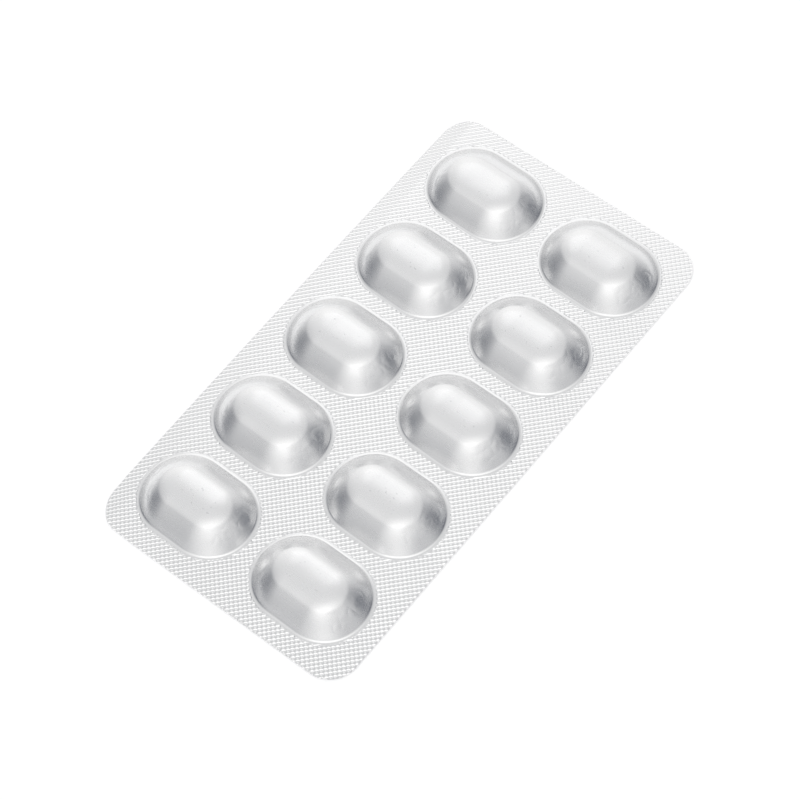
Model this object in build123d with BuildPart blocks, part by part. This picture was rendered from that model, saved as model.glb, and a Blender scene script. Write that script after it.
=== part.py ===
from build123d import *
import os
from math import cos, radians, sin, tan

# Sealed pill blister pack, lying on its flat lid with the domes up.
# X runs along the short side, Y along the long side and Z up.
# The origin is the middle of the underside.

# Cut outline of the pack
pack_width = 65.4
pack_length = 120.0
corner_radius = 6.5
web_thickness = 0.3

# One pocket, measured at the foot of its wall
pocket_length = 26.2
pocket_width = 18.7
dome_height = 5.0

# Section of a pocket, from the web up to the crown
wall_angle = 46.0
shoulder_radius = 3.5
crown_edge_slope = 12.5

# Layout of the pockets. The outline was cut a little askew to them.
columns = 2
rows = 5
column_pitch = 30.5
row_pitch = 23.0
layout_shift_x = -0.1
layout_shift_y = 0.38
layout_turn = -0.45

# The section is a straight wall, a shoulder arc and a shallow crown arc, each
# tangent to the next. The wall's run is what brings the crown level on the
# centre line at the dome's height.
half_width = pocket_width / 2
half_straight = (pocket_length - pocket_width) / 2
wall = radians(wall_angle)
crown_edge = radians(crown_edge_slope)
shoulder_run = shoulder_radius * (sin(wall) - sin(crown_edge))
shoulder_rise = shoulder_radius * (cos(crown_edge) - cos(wall))
crown_chord = tan(crown_edge / 2)
free_run = half_width - shoulder_run
free_rise = dome_height - shoulder_rise
wall_run = (free_rise - free_run * crown_chord) / (tan(wall) - crown_chord)
wall_rise = wall_run * tan(wall)
crown_radius = (free_run - wall_run) / sin(crown_edge)
shoulder_arc = wall_angle - crown_edge_slope

# One pocket. Its half section turns about a vertical axis to make the rounded
# end, runs straight from there to the middle, and the other half mirrors it.
with BuildPart() as pocket:
    with BuildSketch(Plane.YZ.offset(half_straight)):
        with BuildLine():
            base = Line((0, 0), (half_width, 0))
            rim = Line(base @ 1, (half_width, web_thickness))
            side = Line(rim @ 1, rim @ 1 + Vector(-wall_run, wall_rise))
            shoulder = JernArc(side @ 1, side % 1, shoulder_radius, shoulder_arc)
            crown = JernArc(shoulder @ 1, shoulder % 1, crown_radius, crown_edge_slope)
            Line(crown @ 1, base @ 0)
        make_face()
    revolve(axis=Axis((half_straight, 0, 0), (0, 0, 1)), revolution_arc=-180)
    flat_side = pocket.faces().filter_by(Axis.X)
    extrude(flat_side, amount=half_straight, dir=(-1, 0, 0))
    mirror(about=Plane.YZ)

# The sealed pack: one thin web with rounded corners, and the pockets on it.
with BuildPart() as blister_pack:
    with BuildSketch():
        RectangleRounded(pack_width, pack_length, corner_radius)
    extrude(amount=web_thickness)
    with Locations(Location((layout_shift_x, layout_shift_y, 0), (0, 0, layout_turn))):
        with GridLocations(column_pitch, row_pitch, columns, rows):
            add(pocket.part)

os.makedirs("parts", exist_ok=True)
blister_pack.part.label = "blister_pack"
export_step(blister_pack.part, "parts/blister_pack.step")
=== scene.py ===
"""A sealed foil pill pack and the plain studio it lies in, made in Blender."""

from math import cos, hypot, pi, radians, sin

import bmesh
import bpy
import numpy as np
from bpy.props import FloatProperty, FloatVectorProperty, IntProperty, PointerProperty
from mathutils import Matrix, Vector
from mathutils.geometry import delaunay_2d_cdt


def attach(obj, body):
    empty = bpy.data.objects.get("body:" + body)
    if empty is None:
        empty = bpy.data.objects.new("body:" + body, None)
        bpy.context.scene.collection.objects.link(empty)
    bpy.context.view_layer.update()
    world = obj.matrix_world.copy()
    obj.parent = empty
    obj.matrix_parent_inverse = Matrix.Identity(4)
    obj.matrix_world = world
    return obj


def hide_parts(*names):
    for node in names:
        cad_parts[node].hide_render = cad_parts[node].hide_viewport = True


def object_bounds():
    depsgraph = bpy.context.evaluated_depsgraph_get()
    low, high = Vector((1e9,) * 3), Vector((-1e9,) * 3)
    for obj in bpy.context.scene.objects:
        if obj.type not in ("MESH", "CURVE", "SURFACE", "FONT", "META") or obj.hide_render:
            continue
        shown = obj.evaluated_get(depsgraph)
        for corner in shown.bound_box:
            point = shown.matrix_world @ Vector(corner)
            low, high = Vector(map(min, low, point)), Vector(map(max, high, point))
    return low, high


bl_info = {
    "name": "Pill blister pack",
    "version": (1, 0, 0),
    "blender": (4, 5, 0),
    "location": "View3D > Sidebar > Blister",
    "description": "Makes a sealed foil pill pack and the studio it lies in",
    "category": "Add Mesh",
}

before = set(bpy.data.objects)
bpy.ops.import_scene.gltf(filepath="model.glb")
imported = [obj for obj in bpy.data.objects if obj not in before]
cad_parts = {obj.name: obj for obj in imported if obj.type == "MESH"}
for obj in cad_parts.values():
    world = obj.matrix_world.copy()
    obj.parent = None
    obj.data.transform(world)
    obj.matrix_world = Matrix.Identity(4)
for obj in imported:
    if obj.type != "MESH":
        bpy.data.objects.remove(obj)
cad_low, cad_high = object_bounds()

MM = 0.001
CAD_NODE = "blister_pack"
BODY = "root"
WHITE = (1.0, 1.0, 1.0, 1.0)

# Mesh of a pocket: steps round one of its ends and along one of its sides
ARC_STEPS = 36
RUN_STEPS = 8

# Mesh of the web: the triangulation works in millimetres, to a tolerance in them, and keeps its
# grid half a spacing off every loop. Chords of a rim lie a hair inside its round, hence the play.
TO_MM = 1000.0
PLAN_TOLERANCE = 1e-5
LOOP_CLEARANCE = 0.5
RIM_PLAY = 0.999
WELD = 0.002 * MM

# Soft waves of the drawn foil: their number, the spread of their lengths and what evens their height
WAVES = 7
WAVE_SPREAD = (0.7, 1.6)
WAVE_GAIN = 1.8

# Where the form and the finish of a pocket change, each as a start and a run. The first two are
# heights above the web, the third is a distance from the pocket's middle along its long side, the
# fourth is a height above the table and the fifth starts that much below the crown. The last is
# the level of the noise that makes a speck.
WAVY_START, WAVY_RUN = 0.5 * MM, 1.5 * MM
DRAWN_START, DRAWN_RUN = 0.05 * MM, 0.5 * MM
END_START, END_RUN = 7.0 * MM, 3.0 * MM
DENT_START, DENT_RUN = 1.2 * MM, 1.0 * MM
CROWN_DROP, CROWN_RUN = 0.25 * MM, 0.1 * MM
SPECK_START, SPECK_RUN = 0.70, 0.03

# Lobes of the studio's air: azimuth and elevation in degrees, tightness, and what it adds
AIR = (
    (47, 11, 8.5, -0.55),
    (213, 10, 7.5, -0.48),
    (138, 22, 5.5, 0.40),
    (98, 25, 10.0, 0.10),
    (286, 61, 6.5, 0.48),
    (302, -3, 8.0, 0.44),
    (342, 12, 14.0, -0.12),
    (14, 58, 12.0, 0.12),
    (322, 76, 24.0, 0.20),
)

# Lamps: name, azimuth and elevation in degrees, distance, width and depth in metres, brightness
SOFTBOXES = (
    ("back_softbox", 130, 49, 0.5, 0.24, 0.24, 0.26),
    ("front_softbox", 290, 55, 0.8, 0.40, 0.40, 0.14),
)

# The floor is a square that reaches this far each way, a hair below the pack's underside
FLOOR_REACH = 2.0
FLOOR_DROP = 0.02 * MM


def length(name, description, default):
    """A length in metres that a user may change."""
    return FloatProperty(name=name, description=description, default=default, unit="LENGTH", precision=6)


def angle(name, description, degrees):
    """An angle that a user may change."""
    return FloatProperty(name=name, description=description, default=radians(degrees), unit="ROTATION")


def share(name, description, default):
    """A plain number, such as a roughness or a strength."""
    return FloatProperty(name=name, description=description, default=default, precision=4)


def count(name, description, default):
    """A whole number."""
    return IntProperty(name=name, description=description, default=default)


def place(name, description, default):
    """A point in metres."""
    return FloatVectorProperty(name=name, description=description, default=default, unit="LENGTH")


def colour(name, description, default):
    """A linear colour."""
    return FloatVectorProperty(name=name, description=description, default=default, size=3, subtype="COLOR")


class PackSizes(bpy.types.PropertyGroup):
    """Outline, layout and section of the pack. Its left is -X and its front is -Y."""

    width: length("Width", "Short side of the pack", cad_high.x - cad_low.x)
    length: length("Length", "Long side of the pack", cad_high.y - cad_low.y)
    corner: length("Corner radius", "Rounding of the cut corners", 6.5 * MM)
    inset: length("Inset", "How far the left edge is cut in all along", 0.22 * MM)
    bow: length("Bow of the cut", "How much further the left edge is cut in at its ends", 0.42 * MM)
    cut_reach: length("Reach of the cut", "How far in from the left edge the foil follows it", 4.0 * MM)
    nip: length("Nip", "How far the front left corner is cut in", 0.3 * MM)
    nip_reach: length("Reach of the nip", "How far from that corner the foil follows it", 9.0 * MM)
    web: length("Web", "Thickness of the sealed web", 0.3 * MM)
    lid: length("Lid", "Height of the lidding foil's upper face", 0.08 * MM)
    pocket_length: length("Pocket length", "Long side of a pocket at its foot", 27.05 * MM)
    pocket_width: length("Pocket width", "Short side of a pocket at its foot", 19.55 * MM)
    dome_height: length("Dome height", "Height of a pocket above the web", 5.0 * MM)
    foot_radius: length("Foot radius", "Fillet between web and wall", 1.0 * MM)
    wall_foot: angle("Wall slope at the foot", "Slope of a pocket's wall above the fillet", 51.0)
    wall_head: angle("Wall slope at the head", "Slope of the wall where the shoulder starts", 34.0)
    shoulder_radius: length("Shoulder radius", "Arc between wall and crown", 3.3 * MM)
    blend_radius: length("Blend radius", "Arc between shoulder and crown", 8.0 * MM)
    blend_head: angle("Slope at the blend", "Slope where the shoulder meets the blend", 20.0)
    crown_edge: angle("Crown edge slope", "Slope where the blend meets the crown", 9.0)
    wave_height: length("Wave height", "How uneven a pocket is", 0.02 * MM)
    wave_length: length("Wave length", "Length of that unevenness", 7.0 * MM)
    columns: count("Columns", "Pockets across the pack", 2)
    rows: count("Rows", "Pockets along the pack", 5)
    column_pitch: length("Column pitch", "Spacing of the columns", 30.5 * MM)
    row_pitch: length("Row pitch", "Spacing of the rows", 23.0 * MM)
    shift_x: length("Layout shift X", "The pockets' offset across the outline", -0.1 * MM)
    shift_y: length("Layout shift Y", "The pockets' offset along the outline", 0.38 * MM)
    turn: angle("Layout turn", "Turn of the pockets against the outline", -0.45)


class KnurlSizes(bpy.types.PropertyGroup):
    """The sealing tool's pattern on the web: two families of grooves that cross."""

    pitch: length("Pitch", "Spacing of the grooves", 0.89 * MM)
    angle_a: angle("First grooves", "Direction across the first grooves", 43.84)
    angle_b: angle("Second grooves", "Direction across the second grooves", 136.12)
    depth: length("Depth", "Depth of the second grooves in the middle of the forming foil", 0.15 * MM)
    first_share: share("Share of the first", "Depth of the first grooves in the middle, against it", 0.47)
    first_fall: share("Fall of the first", "What the first grooves lose towards the far end", 0.15)
    second_fall: share("Fall of the second", "What the second grooves lose towards the right", 0.08)
    crest: share("Crest", "How flat the crests between the grooves are, 1 for sharp ones", 2.5)
    back_depth: length("Depth on the back", "Depth of the pattern in the lidding foil", 0.03 * MM)
    steps: count("Steps", "Mesh points to one groove", 4)
    land: length("Land", "Smooth band round a pocket", 0.1 * MM)
    fade: length("Fade", "Width over which the pattern reaches its depth", 0.25 * MM)


class FoilFinish(bpy.types.PropertyGroup):
    """Surface of the aluminium."""

    bright: colour("Foil colour", "Colour of clean rolled foil", (0.855, 0.855, 0.857))
    dull: colour("Rubbed colour", "Colour of rubbed and scuffed foil", (0.63, 0.633, 0.643))
    rubbing: share("Rubbing", "How much of the rubbed colour there is everywhere", 0.06)
    web_wear: share("Web wear", "How much more of it the knurled web has", 0.05)
    roughness: share("Roughness", "Roughness of the sealed web", 0.16)
    drawn_roughness: share("Drawn roughness", "What the drawing of the pockets adds to it", 0.11)
    cloud_size: share("Cloud size", "Cloudy patches to the metre", 260.0)
    cloud_tint: share("Cloud tint", "What the clouds change of the colour", 0.10)
    cloud_gloss: share("Cloud gloss", "What the clouds change of the roughness", 0.08)
    streak_size: share("Streak size", "Rolling streaks to the metre", 2600.0)
    streak_stretch: share("Streak stretch", "How many times longer than wide a streak is", 40.0)
    streak_tint: share("Streak tint", "What the streaks change of the colour", 0.12)
    streak_gloss: share("Streak gloss", "What the streaks change of the roughness", 0.05)
    streak_depth: length("Streak depth", "Depth of the rolling streaks at full strength", 0.05 * MM)
    streak_bump: share("Streak height", "Strength of the rolling streaks", 0.008)
    dent_size: share("Dent size", "Dents to the metre at the ends of a pocket", 380.0)
    dent_depth: length("Dent depth", "Depth of the dents at the ends of a pocket", 0.22 * MM)
    speck_size: share("Speck size", "Specks to the metre on the crowns, before most are left out", 1500.0)
    speck_wear: share("Speck wear", "How much of the rubbed colour a speck has", 0.6)


class StudioSizes(bpy.types.PropertyGroup):
    """Camera, air and floor."""

    lens: share("Lens", "Focal length in millimetres", 136.07)
    sensor: share("Sensor", "Width of the camera's sensor in millimetres", 36.0)
    nearest: length("Nearest", "Distance at which the camera starts to see", 0.01)
    camera: place("Camera", "Place of the camera", (0.23359, -0.19828, 0.53755))
    aim: place("Aim", "Point of the table in the middle of the view", (0.001685, -0.002388, 0.0))
    roll: angle("Roll", "Turn of the camera about its own axis", -11.91)
    air: share("Air", "Brightness of the air", 0.70)
    shade: colour("Shade", "Tint of the air where it is dark", (0.0, 0.013, 0.045))
    floor: colour("Floor", "Colour of the floor", (0.92, 0.92, 0.92))
    floor_patch: colour("Floor patch", "Colour of the patches in the floor", (0.85, 0.85, 0.85))
    patch_size: share("Patch size", "Patches to the metre", 35.0)
    patch_share: share("Patch share", "How much of their colour the patches have", 0.05)
    floor_roughness: share("Floor roughness", "Roughness of the floor", 0.9)
    floor_glow: share("Floor glow", "What the floor adds for the background", 0.25)


class Wire:
    """A socket of a node, with the arithmetic that shader maths needs."""

    def __init__(self, bench, socket):
        self.bench = bench
        self.socket = socket

    def __add__(self, other):
        return self.bench.maths("ADD", self, other)

    def __radd__(self, other):
        return self.bench.maths("ADD", other, self)

    def __sub__(self, other):
        return self.bench.maths("SUBTRACT", self, other)

    def __rsub__(self, other):
        return self.bench.maths("SUBTRACT", other, self)

    def __mul__(self, other):
        return self.bench.maths("MULTIPLY", self, other)

    def __rmul__(self, other):
        return self.bench.maths("MULTIPLY", other, self)

    def __truediv__(self, other):
        return self.bench.maths("DIVIDE", self, other)

    def __rtruediv__(self, other):
        return self.bench.maths("DIVIDE", other, self)

    def __pow__(self, other):
        return self.bench.maths("POWER", self, other)

    def __rpow__(self, other):
        return self.bench.maths("POWER", other, self)

    def __abs__(self):
        return self.bench.maths("ABSOLUTE", self, 0.0)

    def at_least(self, low):
        return self.bench.maths("MAXIMUM", self, low)

    def at_most(self, high):
        return self.bench.maths("MINIMUM", self, high)


class Bench:
    """One node tree, and the few ways in which nodes are put into it."""

    def __init__(self, tree):
        self.tree = tree
        tree.nodes.clear()

    def node(self, kind, out=0, settings=None, values=None):
        """Adds a node: its settings first, then the values or links of its sockets."""
        node = self.tree.nodes.new(kind)
        for name, value in (settings or {}).items():
            setattr(node, name, value)
        for name, value in (values or {}).items():
            if isinstance(value, Wire):
                self.tree.links.new(value.socket, node.inputs[name])
            else:
                node.inputs[name].default_value = value
        return Wire(self, node.outputs[out]) if node.outputs else None

    def maths(self, operation, first, second):
        return self.node("ShaderNodeMath", settings={"operation": operation}, values={0: first, 1: second})

    def ramp_up(self, value, start, run):
        """0 below the start, 1 past the run and straight between them."""
        return ((value - start) / run).at_least(0.0).at_most(1.0)

    def stretch(self, vector, scale):
        """A vector times another, one axis at a time."""
        return self.node(
            "ShaderNodeVectorMath", settings={"operation": "MULTIPLY"}, values={0: vector, 1: scale}
        )

    def dot(self, vector, axis):
        """How far a vector points along an axis."""
        return self.node(
            "ShaderNodeVectorMath", out="Value",
            settings={"operation": "DOT_PRODUCT"}, values={0: vector, 1: axis},
        )

    def blend(self, share_of_second, first, second):
        """A mix of two colours, which runs on past the second where the share is over 1."""
        return self.node(
            "ShaderNodeMix", out=2, settings={"data_type": "RGBA", "clamp_factor": False},
            values={0: share_of_second, 6: first, 7: second},
        )

    def noise(self, vector, scale, detail=2.0, roughness=0.5):
        return self.node(
            "ShaderNodeTexNoise",
            values={"Vector": vector, "Scale": scale, "Detail": detail, "Roughness": roughness},
        )

    def bump(self, strength, depth, height, **under):
        """A bump of one height, over another bump where one is given as Normal."""
        return self.node(
            "ShaderNodeBump", values={"Strength": strength, "Distance": depth, "Height": height, **under}
        )


def rgba(triple):
    return (*triple, 1.0)


def foil_material(name, finish, pack):
    """Rolled foil: streaks along X, a rubbed web, and pockets that are duller and dented at their ends."""
    material = bpy.data.materials.new(name)
    material.use_nodes = True
    bench = Bench(material.node_tree)
    spot = bench.node("ShaderNodeTexCoord", out="Object")
    height = bench.node("ShaderNodeSeparateXYZ", out="Z", values={"Vector": spot})
    across = (finish.streak_size / finish.streak_stretch, finish.streak_size, finish.streak_size)
    streaks = bench.noise(bench.stretch(spot, across), 1.0, detail=3.0, roughness=0.6)
    clouds = bench.noise(spot, finish.cloud_size, detail=3.0, roughness=0.55)
    drawn = bench.ramp_up(height, pack.web + DRAWN_START, DRAWN_RUN)

    rubbed = (clouds - 0.5) * finish.cloud_tint + (streaks - 0.5) * finish.streak_tint + finish.rubbing
    tint = bench.blend(rubbed.at_least(0.0), rgba(finish.bright), rgba(finish.dull))
    specks = bench.ramp_up(bench.noise(spot, finish.speck_size, detail=1.0), SPECK_START, SPECK_RUN)
    specks = specks * bench.ramp_up(height, pack.web + pack.dome_height - CROWN_DROP, CROWN_RUN)
    worn = specks * finish.speck_wear + (1.0 - drawn) * finish.web_wear
    tint = bench.blend(worn, tint, rgba(finish.dull))

    gloss = (clouds - 0.5) * finish.cloud_gloss + (streaks - 0.5) * finish.streak_gloss
    gloss = gloss + drawn * finish.drawn_roughness + finish.roughness

    off_column = abs(bench.dot(spot, (cos(pack.turn), sin(pack.turn), 0.0)) - pack.shift_x)
    off_middle = abs(off_column - pack.column_pitch / 2)
    ends = bench.ramp_up(off_middle, END_START, END_RUN) * bench.ramp_up(height, DENT_START, DENT_RUN)
    folds = abs(bench.noise(spot, finish.dent_size, detail=1.0, roughness=0.4) - 0.5)
    grain = bench.bump(finish.streak_bump, finish.streak_depth, streaks)
    grain = bench.bump(1.0, finish.dent_depth, folds * ends, Normal=grain)
    surface = bench.node(
        "ShaderNodeBsdfPrincipled",
        values={"Base Color": tint, "Metallic": 1.0, "Roughness": gloss, "Normal": grain},
    )
    bench.node("ShaderNodeOutputMaterial", values={"Surface": surface})
    return material


def pocket_places(pack):
    """Middle of each pocket."""
    places = []
    for column in range(pack.columns):
        for row in range(pack.rows):
            x = (column - (pack.columns - 1) / 2) * pack.column_pitch
            y = (row - (pack.rows - 1) / 2) * pack.row_pitch
            places.append((
                pack.shift_x + x * cos(pack.turn) - y * sin(pack.turn),
                pack.shift_y + x * sin(pack.turn) + y * cos(pack.turn),
            ))
    return places


def set_down(pack, points, middle):
    """A pocket's own plan points, turned with the layout and put where that pocket is."""
    spin = np.array(((cos(pack.turn), sin(pack.turn)), (-sin(pack.turn), cos(pack.turn))))
    return points @ spin + np.array(middle)


def gap_to_pockets(pack, points):
    """Distance from each point to the nearest pocket's foot, negative inside it."""
    half = pack.pocket_width / 2
    straight = pack.pocket_length / 2 - half
    gap = np.full(len(points), np.inf)
    for x, y in pocket_places(pack):
        across = points[:, 0] - x
        along = points[:, 1] - y
        local_x = across * cos(pack.turn) + along * sin(pack.turn)
        local_y = along * cos(pack.turn) - across * sin(pack.turn)
        beyond = np.maximum(np.abs(local_x) - straight, 0.0)
        gap = np.minimum(gap, np.hypot(beyond, local_y) - half)
    return gap


def gap_to_outline(pack, points):
    """Distance from each point inside the pack to its cut edge."""
    x = np.abs(points[:, 0]) - (pack.width / 2 - pack.corner)
    y = np.abs(points[:, 1]) - (pack.length / 2 - pack.corner)
    beyond = np.hypot(np.maximum(x, 0.0), np.maximum(y, 0.0))
    return pack.corner - beyond - np.minimum(np.maximum(x, y), 0.0)


def pack_outline(pack, spacing):
    """Points round the cut edge, counter-clockwise."""
    points = []
    half_x = pack.width / 2 - pack.corner
    half_y = pack.length / 2 - pack.corner
    arc_steps = max(1, round(pack.corner * pi / 2 / spacing))
    sides = ((1, 1, 2 * half_x), (-1, 1, 2 * half_y), (-1, -1, 2 * half_x), (1, -1, 2 * half_y))
    for corner, (side_x, side_y, run) in enumerate(sides):
        middle = np.array((side_x * half_x, side_y * half_y))
        for step in range(arc_steps + 1):
            turn = pi / 2 * (corner + step / arc_steps)
            points.append(middle + pack.corner * np.array((cos(turn), sin(turn))))
        turn = pi / 2 * (corner + 1)
        way = np.array((-sin(turn), cos(turn)))
        steps = round(run / spacing)
        start = points[-1]
        for step in range(1, steps):
            points.append(start + way * run * step / steps)
    return np.array(points)


def stadium(reach, straight):
    """Points round a pocket at one distance from its ridge line, counter-clockwise."""
    arc = np.linspace(-pi / 2, pi / 2, ARC_STEPS + 1)
    right = np.column_stack((straight + reach * np.cos(arc), reach * np.sin(arc)))
    run = np.linspace(straight, -straight, RUN_STEPS + 1)[1:-1]
    upper = np.column_stack((run, np.full(len(run), reach)))
    return np.vstack((right, upper, -right, -upper))


def pocket_section(pack):
    """A pocket's half section from its foot to its ridge: reach, height and slope.

    Five arcs run into each other: fillet, bulging wall, shoulder, blend and shallow crown. The
    radii of the wall and the crown are what brings the section to the pocket's width and height.
    """
    foot, head, neck, edge = pack.wall_foot, pack.wall_head, pack.blend_head, pack.crown_edge
    fillet, shoulder, blend = pack.foot_radius, pack.shoulder_radius, pack.blend_radius
    half = pack.pocket_width / 2
    run = half - fillet * sin(foot) - shoulder * (sin(head) - sin(neck)) - blend * (sin(neck) - sin(edge))
    rise = pack.dome_height - fillet * (1 - cos(foot))
    rise -= shoulder * (cos(neck) - cos(head)) + blend * (cos(edge) - cos(neck))
    wall, crown = np.linalg.solve(
        ((sin(foot) - sin(head), sin(edge)), (cos(head) - cos(foot), 1 - cos(edge))), (run, rise)
    )
    # Radius, slope at the start, slope at the end and points. The fillet curves the other way.
    arcs = (
        (-fillet, 0.0, foot, 7),
        (wall, foot, head, 8),
        (shoulder, head, neck, 6),
        (blend, neck, edge, 5),
        (crown, edge, 0.0, 6),
    )
    section = [(half, pack.web, 0.0)]
    for radius, first, last, points in arcs:
        reach, height, _ = section[-1]
        for turn in np.linspace(first, last, points)[1:]:
            section.append((
                reach - radius * (sin(first) - sin(turn)),
                height + radius * (cos(turn) - cos(first)),
                turn,
            ))
    return section


def knurl_height(pack, knurl, points):
    """How deep the knurl lies below its crests, as a share of its depth."""
    groove = np.zeros(len(points))
    first = knurl.first_share - knurl.first_fall * points[:, 1] / (pack.length / 2)
    second = 1.0 - knurl.second_fall * points[:, 0] / (pack.width / 2)
    for turn, cut in ((knurl.angle_a, first), (knurl.angle_b, second)):
        across = (points[:, 0] * cos(turn) + points[:, 1] * sin(turn)) / knurl.pitch
        side = 2 * np.abs(across - np.round(across))
        groove = np.maximum(groove, cut * side ** knurl.crest)
    clear = (gap_to_pockets(pack, points) - knurl.land) / knurl.fade
    return groove * np.clip(clear, 0.0, 1.0)


def cut_bowed(pack, points):
    """The plan's points with the left edge and the front left corner drawn in, as the cutter ran.

    The lands round the pockets are not drawn in with them, which leaves hairline seams open there.
    """
    near = np.clip((pack.cut_reach - pack.width / 2 - points[:, 0]) / pack.cut_reach, 0.0, 1.0)
    moved = points.copy()
    moved[:, 0] += near * (pack.inset + pack.bow * (points[:, 1] / (pack.length / 2)) ** 2)
    corner = np.array((-pack.width / 2, -pack.length / 2)) + pack.corner * (1 - cos(pi / 4))
    away = np.linalg.norm(points - corner, axis=1)
    moved += pack.nip * np.clip(1 - away / pack.nip_reach, 0.0, 1.0)[:, None]
    return moved


def web_grid(pack, knurl, spacing):
    """Points that follow both families of grooves, wherever the web has room for them."""
    axes = np.array([(cos(turn), sin(turn)) for turn in (knurl.angle_a, knurl.angle_b)])
    reach = int(hypot(pack.width, pack.length) / spacing / 2) + 2
    steps = np.arange(-reach, reach + 1) * spacing
    first, second = np.meshgrid(steps, steps)
    grid = np.linalg.solve(axes, np.vstack((first.ravel(), second.ravel()))).T
    inside = np.abs(grid[:, 0]) < pack.width / 2
    inside &= np.abs(grid[:, 1]) < pack.length / 2
    grid = grid[inside]
    free = gap_to_outline(pack, grid) > spacing * LOOP_CLEARANCE
    free &= gap_to_pockets(pack, grid) > knurl.land + spacing * LOOP_CLEARANCE
    return grid[free]


def web_plan(pack, knurl):
    """The web in plan: its points, its triangles, the outline and the rims round the pockets."""
    spacing = knurl.pitch / knurl.steps
    outline = pack_outline(pack, spacing)
    half = pack.pocket_width / 2
    ring = stadium(half + knurl.land, pack.pocket_length / 2 - half)
    rims = [set_down(pack, ring, middle) for middle in pocket_places(pack)]
    loops = [outline] + rims
    points = np.vstack(loops + [web_grid(pack, knurl, spacing)])
    edges = []
    start = 0
    for loop in loops:
        size = len(loop)
        edges += [(start + k, start + (k + 1) % size) for k in range(size)]
        start += size
    flat = [Vector(point) for point in points * TO_MM]
    found, _, faces, _, _, _ = delaunay_2d_cdt(flat, edges, [], 1, PLAN_TOLERANCE, False)
    found = np.array([tuple(point) for point in found]) / TO_MM
    faces = np.array([tuple(face) for face in faces])
    middles = found[faces].mean(axis=1)
    faces = faces[gap_to_pockets(pack, middles) > knurl.land * RIM_PLAY]
    return found, faces, outline, rims


class Sheet:
    """Points and faces of one piece, gathered a patch at a time and welded at the end."""

    def __init__(self):
        self.points = []
        self.faces = []
        self.flat = []

    def add(self, points, faces, flat=False):
        start = len(self.points)
        self.points += [tuple(point) for point in points]
        self.faces += [tuple(start + int(k) for k in face) for face in faces]
        self.flat += [flat] * len(faces)

    def make(self, name):
        """Turns the patches into one mesh object, with the points that meet welded."""
        mesh = bpy.data.meshes.new(name)
        mesh.from_pydata(self.points, [], self.faces)
        mesh.polygons.foreach_set("use_smooth", [not flat for flat in self.flat])
        work = bmesh.new()
        work.from_mesh(mesh)
        bmesh.ops.remove_doubles(work, verts=work.verts, dist=WELD)
        bmesh.ops.recalc_face_normals(work, faces=work.faces)
        work.to_mesh(mesh)
        work.free()
        piece = bpy.data.objects.new(name, mesh)
        bpy.context.scene.collection.objects.link(piece)
        return piece


def with_height(points, height):
    return np.column_stack((points, np.broadcast_to(height, len(points))))


def between(first, second):
    """Two rings of points, stacked one after the other, and the faces between them."""
    size = len(first)
    faces = [(k, (k + 1) % size, size + (k + 1) % size, size + k) for k in range(size)]
    return np.vstack((first, second)), faces


def pressed_sheet(pack, knurl, plan, level, rise):
    """One foil without its pockets: its knurled face, its cut edge and the face that is sealed."""
    points, triangles, outline, _ = plan
    sheet = Sheet()
    knurled = level + rise * knurl_height(pack, knurl, points)
    sheet.add(with_height(cut_bowed(pack, points), knurled), triangles, flat=True)
    cut = cut_bowed(pack, outline)
    edge = with_height(cut, level + rise * knurl_height(pack, knurl, outline))
    sealed = with_height(cut, pack.lid)
    sheet.add(*between(sealed, edge), flat=True)
    sheet.add(sealed, [range(len(sealed))], flat=True)
    return sheet


def soft_waves(points, seed, size):
    """Gentle unevenness from a few crossing waves, about -1 to 1."""
    draw = np.random.default_rng(seed)
    total = np.zeros(len(points))
    for _ in range(WAVES):
        way = draw.normal(size=3)
        way /= np.linalg.norm(way)
        pace = 2 * pi / (size * draw.uniform(*WAVE_SPREAD))
        total += np.sin(points @ way * pace + draw.uniform(0, 2 * pi))
    return total / WAVES * WAVE_GAIN


def wavy_ring(pack, straight, stop, seed):
    """One ring of a pocket, with its unevenness square to the foil."""
    reach, height, slope = stop
    ring = stadium(reach, straight)
    solid = with_height(ring, height)
    lift = np.clip((height - pack.web - WAVY_START) / WAVY_RUN, 0.0, 1.0)
    bump = soft_waves(solid, seed, pack.wave_length) * pack.wave_height * lift
    outward = ring.copy()
    outward[:, 0] -= np.clip(ring[:, 0], -straight, straight)
    outward /= np.linalg.norm(outward, axis=1)[:, None]
    solid[:, :2] += outward * (bump * sin(slope))[:, None]
    solid[:, 2] += bump * cos(slope)
    return solid


def pocket_patch(pack, knurl, middle, seed):
    """The points and faces of one domed pocket and the smooth land round it."""
    half = pack.pocket_width / 2
    straight = pack.pocket_length / 2 - half
    *stops, (_, ridge_height, _) = [(half + knurl.land, pack.web, 0.0)] + pocket_section(pack)
    rings = [wavy_ring(pack, straight, stop, seed) for stop in stops]
    size = len(rings[0])
    faces = []
    for ring in range(len(rings) - 1):
        for k in range(size):
            low, low_next = ring * size + k, ring * size + (k + 1) % size
            faces.append((low, low_next, low_next + size, low + size))

    # The last ring closes on the ridge line, whose points are fewer: each takes the nearest one.
    ridge_x = np.linspace(straight, -straight, RUN_STEPS + 1)
    ridge = with_height(np.column_stack((ridge_x, np.zeros(RUN_STEPS + 1))), ridge_height)
    ridge[:, 2] += soft_waves(ridge, seed, pack.wave_length) * pack.wave_height
    last, top = (len(rings) - 1) * size, len(rings) * size
    nearest = [top + min(max(k - ARC_STEPS, 0), RUN_STEPS, size - k) for k in range(size + 1)]
    for k in range(size):
        face = [last + k, last + (k + 1) % size, nearest[k + 1]]
        if nearest[k] != nearest[k + 1]:
            face.append(nearest[k])
        faces.append(face)

    points = np.vstack(rings + [ridge])
    points[:, :2] = set_down(pack, points[:, :2], middle)
    return points, faces


def finish_piece(piece, material):
    """Gives a piece its material and its place in the frame."""
    piece.data.materials.append(material)
    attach(piece, BODY)
    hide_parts(CAD_NODE)


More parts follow.
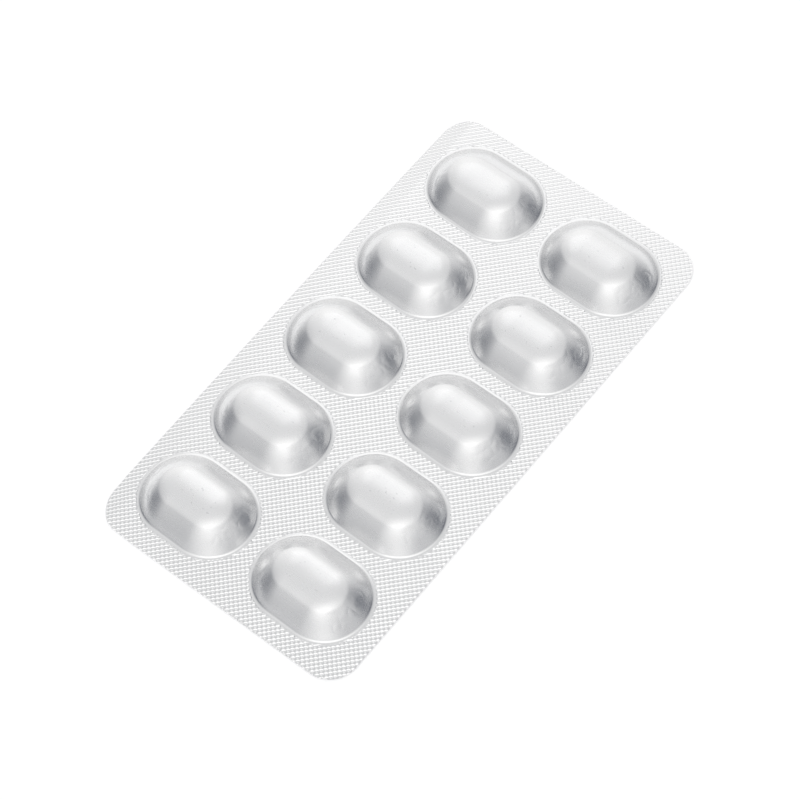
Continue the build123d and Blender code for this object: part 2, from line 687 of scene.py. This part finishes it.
class BLISTER_OT_formed_foil(bpy.types.Operator):
    """Make the forming foil: knurled web, smooth lands and domed pockets."""

    bl_idname = "blister.formed_foil"
    bl_label = "Formed foil"

    def execute(self, context):
        pack, knurl = context.scene.pack_sizes, context.scene.knurl_sizes
        sheet = pressed_sheet(pack, knurl, web_plan(pack, knurl), pack.web, -knurl.depth)
        for seed, middle in enumerate(pocket_places(pack)):
            sheet.add(*pocket_patch(pack, knurl, middle, seed))
        piece = sheet.make("formed_foil")
        finish_piece(piece, foil_material("formed_foil", context.scene.foil_finish, pack))
        return {"FINISHED"}


class BLISTER_OT_lidding_foil(bpy.types.Operator):
    """Make the lidding foil: the flat back, with the knurl pressed through it."""

    bl_idname = "blister.lidding_foil"
    bl_label = "Lidding foil"

    def execute(self, context):
        pack, knurl = context.scene.pack_sizes, context.scene.knurl_sizes
        plan = web_plan(pack, knurl)
        sheet = pressed_sheet(pack, knurl, plan, 0.0, knurl.back_depth)
        for rim in plan[-1]:
            sheet.add(with_height(rim, 0.0), [range(len(rim))])
        piece = sheet.make("lidding_foil")
        finish_piece(piece, foil_material("lidding_foil", context.scene.foil_finish, pack))
        return {"FINISHED"}


def compass(azimuth, elevation):
    """A direction from degrees round from +X and degrees up."""
    turn, lift = radians(azimuth), radians(elevation)
    return Vector((cos(turn) * cos(lift), sin(turn) * cos(lift), sin(lift)))


def softbox(name, azimuth, elevation, distance, width, depth, level):
    """A rectangular lamp that looks at the middle of the pack; level is its own brightness."""
    light = bpy.data.lights.new(name, "AREA")
    light.shape = "RECTANGLE"
    light.size = width
    light.size_y = depth
    light.energy = level * pi * width * depth
    lamp = bpy.data.objects.new(name, light)
    way = compass(azimuth, elevation)
    lamp.matrix_world = Matrix.Translation(way * distance) @ way.to_track_quat("Z", "Y").to_matrix().to_4x4()
    bpy.context.scene.collection.objects.link(lamp)


def studio_air(studio):
    """Pale air all round: brighter behind and in front, darker and cooler to the left and the right."""
    world = bpy.data.worlds.new("studio_air")
    world.use_nodes = True
    bench = Bench(world.node_tree)
    way = bench.node("ShaderNodeTexCoord", out="Generated")
    level = studio.air
    for azimuth, elevation, tightness, strength in AIR:
        level = bench.dot(way, compass(azimuth, elevation)).at_least(0.0) ** tightness * strength + level
    tint = bench.blend(level, rgba(studio.shade), WHITE)
    air = bench.node("ShaderNodeBackground", values={"Color": tint, "Strength": 1.0})
    bench.node("ShaderNodeOutputWorld", values={"Surface": air})
    bpy.context.scene.world = world


def floor_material(studio):
    """A pale matt floor that shows as the white background and keeps the object's shadow."""
    material = bpy.data.materials.new("floor")
    material.use_nodes = True
    bench = Bench(material.node_tree)
    spot = bench.node("ShaderNodeTexCoord", out="Object")
    patches = bench.noise(spot, studio.patch_size, detail=3.0) * studio.patch_share
    shade = bench.blend(patches, rgba(studio.floor), rgba(studio.floor_patch))
    matt = bench.node(
        "ShaderNodeBsdfPrincipled", values={"Base Color": shade, "Roughness": studio.floor_roughness}
    )
    seen = bench.node("ShaderNodeLightPath", out="Is Camera Ray")
    seen = seen.at_least(bench.node("ShaderNodeLightPath", out="Is Glossy Ray"))
    seen = seen.at_least(bench.node("ShaderNodeLightPath", out="Is Transmission Ray"))
    glow = bench.node("ShaderNodeEmission", values={"Color": WHITE, "Strength": seen * studio.floor_glow})
    both = bench.node("ShaderNodeAddShader", values={0: matt, 1: glow})
    bench.node("ShaderNodeOutputMaterial", values={"Surface": both})
    return material


def lay_floor(studio):
    """The floor, which is stage and not part of the object."""
    mesh = bpy.data.meshes.new("floor")
    sides = ((-1, -1), (1, -1), (1, 1), (-1, 1))
    mesh.from_pydata([(x * FLOOR_REACH, y * FLOOR_REACH, -FLOOR_DROP) for x, y in sides], [], [(0, 1, 2, 3)])
    mesh.materials.append(floor_material(studio))
    floor = bpy.data.objects.new("floor", mesh)
    bpy.context.scene.collection.objects.link(floor)


def set_camera(studio):
    """The camera, at the photograph's angle."""
    view = bpy.data.cameras.new("camera")
    view.lens = studio.lens
    view.sensor_width = studio.sensor
    view.clip_start = studio.nearest
    camera = bpy.data.objects.new("camera", view)
    away = Vector(studio.camera) - Vector(studio.aim)
    camera.matrix_world = (
        Matrix.Translation(studio.camera)
        @ away.to_track_quat("Z", "Y").to_matrix().to_4x4()
        @ Matrix.Rotation(studio.roll, 4, "Z")
    )
    bpy.context.scene.collection.objects.link(camera)
    bpy.context.scene.camera = camera


class BLISTER_OT_studio(bpy.types.Operator):
    """Set up the floor, the air, the lamps and the camera."""

    bl_idname = "blister.studio"
    bl_label = "Studio"

    def execute(self, context):
        studio = context.scene.studio_sizes
        lay_floor(studio)
        studio_air(studio)
        for lamp in SOFTBOXES:
            softbox(*lamp)
        set_camera(studio)
        context.scene.view_settings.view_transform = "Standard"
        return {"FINISHED"}


class BLISTER_PT_panel(bpy.types.Panel):
    """Buttons for the pack's pieces and its studio."""

    bl_label = "Blister pack"
    bl_space_type = "VIEW_3D"
    bl_region_type = "UI"
    bl_category = "Blister"

    def draw(self, context):
        for operator in OPERATORS:
            self.layout.operator(operator.bl_idname)


GROUPS = {
    "pack_sizes": PackSizes,
    "knurl_sizes": KnurlSizes,
    "foil_finish": FoilFinish,
    "studio_sizes": StudioSizes,
}
OPERATORS = (BLISTER_OT_formed_foil, BLISTER_OT_lidding_foil, BLISTER_OT_studio)


def register():
    for name, group in GROUPS.items():
        bpy.utils.register_class(group)
        setattr(bpy.types.Scene, name, PointerProperty(type=group))
    for operator in OPERATORS:
        bpy.utils.register_class(operator)
    bpy.utils.register_class(BLISTER_PT_panel)


def unregister():
    bpy.utils.unregister_class(BLISTER_PT_panel)
    for operator in reversed(OPERATORS):
        bpy.utils.unregister_class(operator)
    for name, group in GROUPS.items():
        delattr(bpy.types.Scene, name)
        bpy.utils.unregister_class(group)


def main():
    register()
    bpy.ops.blister.formed_foil()
    bpy.ops.blister.lidding_foil()
    bpy.ops.blister.studio()


if __name__ == "__main__":
    main()
